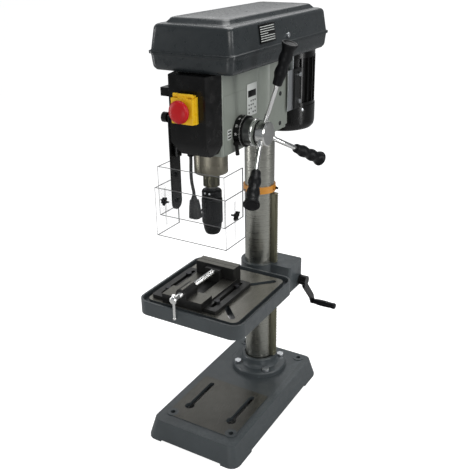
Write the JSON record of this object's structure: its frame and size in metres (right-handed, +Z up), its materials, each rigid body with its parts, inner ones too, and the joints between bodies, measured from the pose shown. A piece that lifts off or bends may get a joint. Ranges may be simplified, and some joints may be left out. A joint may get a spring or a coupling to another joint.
{
  "type": "drill press",
  "caption": "Bench drill press with a cast base, a round column, a crank-raised tilting table with a vise, a lever-fed quill, a clear chuck guard and a belt drive under a lid.",
  "frame": {"origin": "centre of the four bolt-down holes of the base, on the floor", "axes": "+Z up along the column, +Y to the back (the motor side), -Y to the operator, +X to the operator's right (the feed spokes and the table crank)"},
  "size_m": [0.3173, 0.5574, 0.988],
  "materials": {
    "cast_paint": "satin hammered-grey enamel on castings",
    "head_paint": "satin grey-green enamel",
    "black_paint": "satin black",
    "orange_paint": "satin orange",
    "machined": "machined cast iron with tool marks",
    "column_steel": "ground and brushed round the axis",
    "rack_steel": "milled, lightly oiled",
    "dark_steel": "black oxide",
    "bright_steel": "turned bright",
    "chrome": "polished",
    "zinc": "zinc plated",
    "aluminium": "turned",
    "black_plastic": "fine grain",
    "yellow_plastic": "semi-gloss",
    "red_plastic": "semi-gloss",
    "green_plastic": "semi-gloss",
    "clear_plastic": "clear sheet with polished edges",
    "belt_rubber": "fabric-faced rubber",
    "cord_rubber": "smooth rubber"
  },
  "bodies": {
    "frame": {"base": "cast_paint", "column_flange": "cast_paint", "flange_bolts": "dark_steel", "column": "column_steel", "rack_collar": "orange_paint", "set_screws": "dark_steel", "head_casting": "head_paint", "front_cover": "black_paint", "switch_box": "yellow_plastic", "spring_cap": "black_plastic", "return_spring": "bright_steel", "guard_bracket": "head_paint", "belt_tray": "cast_paint", "v_belts": "belt_rubber", "cord_gland": "black_plastic", "power_cord": "cord_rubber", "power_plug": "cord_rubber"},
    "rack": {"column_rack": "rack_steel"},
    "bracket": {"table_bracket": "cast_paint", "tilt_bolt": "zinc"},
    "bracket_lock": {"bracket_lock_lever": "dark_steel"},
    "crank": {"worm_shaft": "bright_steel", "table_crank": "black_paint"},
    "crank_handle": {"crank_grip": "black_plastic"},
    "lift_pinion": {"lift_gear": "bright_steel"},
    "table": {"work_table": "cast_paint", "vise_body": "dark_steel", "vise_bolts": "dark_steel"},
    "moving_jaw": {"vise_jaw": "dark_steel"},
    "jaw_screw": {"vise_screw": "chrome"},
    "tee_bar": {"vise_handle": "chrome"},
    "flap": {"switch_flap": "yellow_plastic"},
    "stop_mushroom": {"emergency_button": "red_plastic"},
    "start_key": {"start_button": "green_plastic"},
    "stop_key": {"stop_button": "red_plastic"},
    "quill_tube": {"quill": "machined"},
    "spindle_rod": {"spindle": "bright_steel", "chuck_body": "black_paint"},
    "jaws": {"chuck_jaws": "dark_steel"},
    "sleeve": {"chuck_sleeve": "black_plastic"},
    "feed": {"feed_shaft": "bright_steel", "feed_hub": "chrome", "feed_spokes": "chrome", "feed_grips": "black_plastic"},
    "depth_dial": {"depth_ring": "black_plastic"},
    "depth_lock": {"depth_lock_lever": "black_plastic"},
    "guard": {"guard_arm": "black_paint", "guard_upper": "clear_plastic"},
    "lower_shield": {"guard_lower": "clear_plastic"},
    "wing_screws": {"guard_wing_screws": "black_plastic"},
    "lid": {"belt_lid": "cast_paint"},
    "drive_sleeve": {"spindle_pulley": "aluminium"},
    "swing_arm": {"idler_arm": "zinc"},
    "idler": {"idler_pulley": "aluminium"},
    "motor": {"motor_body": "black_paint", "fan_cover": "black_paint", "motor_plate": "zinc", "motor_bolts": "zinc"},
    "rotor": {"motor_pulley": "aluminium", "motor_shaft": "bright_steel"}
  },
  "joints": [
    {"name": "table_swing", "type": "hinge", "parent": "frame", "child": "rack", "pos_m": [0, 0.11, 0.3], "axis": [0, 0, 1], "range_deg": [-180, 180]},
    {"name": "table_lift", "type": "slide", "parent": "rack", "child": "bracket", "axis": [0, 0, 1], "range_m": [-0.15, 0.09]},
    {"name": "table_tilt", "type": "hinge", "parent": "bracket", "child": "table", "pos_m": [0, 0.051, 0.316], "axis": [0, 1, 0], "range_deg": [-45, 45]},
    {"name": "crank_turn", "type": "hinge", "parent": "bracket", "child": "crank", "pos_m": [0.1, 0.144, 0.3189], "axis": [1, 0, 0], "continuous": true},
    {"name": "crank_grip_spin", "type": "hinge", "parent": "crank", "child": "crank_handle", "pos_m": [0.14, 0.19344, 0.23661], "axis": [1, 0, 0], "continuous": true},
    {"name": "lift_gear_turn", "type": "hinge", "parent": "bracket", "child": "lift_pinion", "pos_m": [0.06, 0.11, 0.3435], "axis": [0, 1, 0], "continuous": true},
    {"name": "bracket_lock_turn", "type": "hinge", "parent": "bracket", "child": "bracket_lock", "pos_m": [-0.06, 0.11, 0.312], "axis": [1, 0, 0], "range_deg": [-40, 60]},
    {"name": "vise_jaw_slide", "type": "slide", "parent": "table", "child": "moving_jaw", "axis": [0, -1, 0], "range_m": [0, 0.08]},
    {"name": "vise_screw_turn", "type": "hinge", "parent": "moving_jaw", "child": "jaw_screw", "pos_m": [-0.024, -0.15, 0.4067], "axis": [0, 1, 0], "continuous": true},
    {"name": "vise_handle_slide", "type": "slide", "parent": "jaw_screw", "child": "tee_bar", "axis": [0, 0, 1], "range_m": [0, 0.034]},
    {"name": "switch_flap_hinge", "type": "hinge", "parent": "frame", "child": "flap", "pos_m": [0, -0.204, 0.8485], "axis": [-1, 0, 0], "range_deg": [0, 110]},
    {"name": "emergency_press", "type": "slide", "parent": "flap", "child": "stop_mushroom", "axis": [0, 1, 0], "range_m": [0, 0.004], "stiffness_N_per_m": 900},
    {"name": "start_press", "type": "slide", "parent": "frame", "child": "start_key", "axis": [0, 1, 0], "range_m": [0, 0.002], "stiffness_N_per_m": 500},
    {"name": "stop_press", "type": "slide", "parent": "frame", "child": "stop_key", "axis": [0, 1, 0], "range_m": [0, 0.002], "stiffness_N_per_m": 500},
    {"name": "quill_feed", "type": "slide", "parent": "frame", "child": "quill_tube", "axis": [0, 0, -1], "range_m": [0, 0.08], "stiffness_N_per_m": 300, "springref_m": -0.17},
    {"name": "spindle_spin", "type": "hinge", "parent": "quill_tube", "child": "spindle_rod", "pos_m": [0, -0.109, 0.6], "axis": [0, 0, 1], "continuous": true},
    {"name": "chuck_sleeve_turn", "type": "hinge", "parent": "spindle_rod", "child": "sleeve", "pos_m": [0, -0.109, 0.6], "axis": [0, 0, 1], "range_deg": [0, 180]},
    {"name": "chuck_jaws_slide", "type": "slide", "parent": "spindle_rod", "child": "jaws", "axis": [0, 0, 1], "range_m": [0, 0.0081]},
    {"name": "feed_turn", "type": "hinge", "parent": "frame", "child": "feed", "pos_m": [0.1, -0.075, 0.756], "axis": [1, 0, 0], "range_deg": [0, 256]},
    {"name": "depth_ring_turn", "type": "hinge", "parent": "frame", "child": "depth_dial", "pos_m": [0.06, -0.075, 0.756], "axis": [1, 0, 0], "range_deg": [-150, 150]},
    {"name": "depth_lock_turn", "type": "hinge", "parent": "depth_dial", "child": "depth_lock", "pos_m": [0.063, -0.075, 0.756], "axis": [0, -0.866, -0.5], "range_deg": [0, 60]},
    {"name": "guard_swing", "type": "hinge", "parent": "frame", "child": "guard", "pos_m": [-0.07, -0.132, 0.8], "axis": [0, 0, -1], "range_deg": [0, 68]},
    {"name": "guard_lower_slide", "type": "slide", "parent": "guard", "child": "lower_shield", "axis": [0, 0, 1], "range_m": [-0.03, 0.045]},
    {"name": "guard_wing_turn", "type": "hinge", "parent": "guard", "child": "wing_screws", "pos_m": [0.09, -0.1605, 0.599], "axis": [1, 0, 0], "continuous": true},
    {"name": "lid_hinge", "type": "hinge", "parent": "frame", "child": "lid", "pos_m": [-0.103, 0.05, 0.922], "axis": [0, -1, 0], "range_deg": [0, 100]},
    {"name": "spindle_pulley_spin", "type": "hinge", "parent": "frame", "child": "drive_sleeve", "pos_m": [0, -0.109, 0.6], "axis": [0, 0, 1], "continuous": true},
    {"name": "idler_swing", "type": "hinge", "parent": "frame", "child": "swing_arm", "pos_m": [0.03, 0.126, 0.892], "axis": [0, 0, 1], "range_deg": [-3, 3], "deforming": ["v_belts"]},
    {"name": "idler_spin", "type": "hinge", "parent": "swing_arm", "child": "idler", "pos_m": [0, 0.066, 0.9], "axis": [0, 0, 1], "continuous": true},
    {"name": "motor_tension", "type": "slide", "parent": "frame", "child": "motor", "axis": [0, 1, 0], "range_m": [-0.006, 0.006], "deforming": ["v_belts"]},
    {"name": "motor_spin", "type": "hinge", "parent": "motor", "child": "rotor", "pos_m": [0, 0.238, 0.8], "axis": [0, 0, 1], "continuous": true}
  ],
  "couplings": [
    {"joint": "crank_turn", "follows": "table_lift", "rad_per_m": -1666.7},
    {"joint": "lift_gear_turn", "follows": "table_lift", "rad_per_m": -83.333},
    {"joint": "vise_screw_turn", "follows": "vise_jaw_slide", "rad_per_m": 2094.4},
    {"joint": "feed_turn", "follows": "quill_feed", "rad_per_m": 55.556},
    {"joint": "chuck_jaws_slide", "follows": "chuck_sleeve_turn", "m_per_rad": 0.0025465},
    {"joint": "spindle_pulley_spin", "follows": "spindle_spin", "ratio": 1},
    {"joint": "idler_spin", "follows": "spindle_spin", "ratio": 1.2676},
    {"joint": "motor_spin", "follows": "spindle_spin", "ratio": 3.7241}
  ]
}
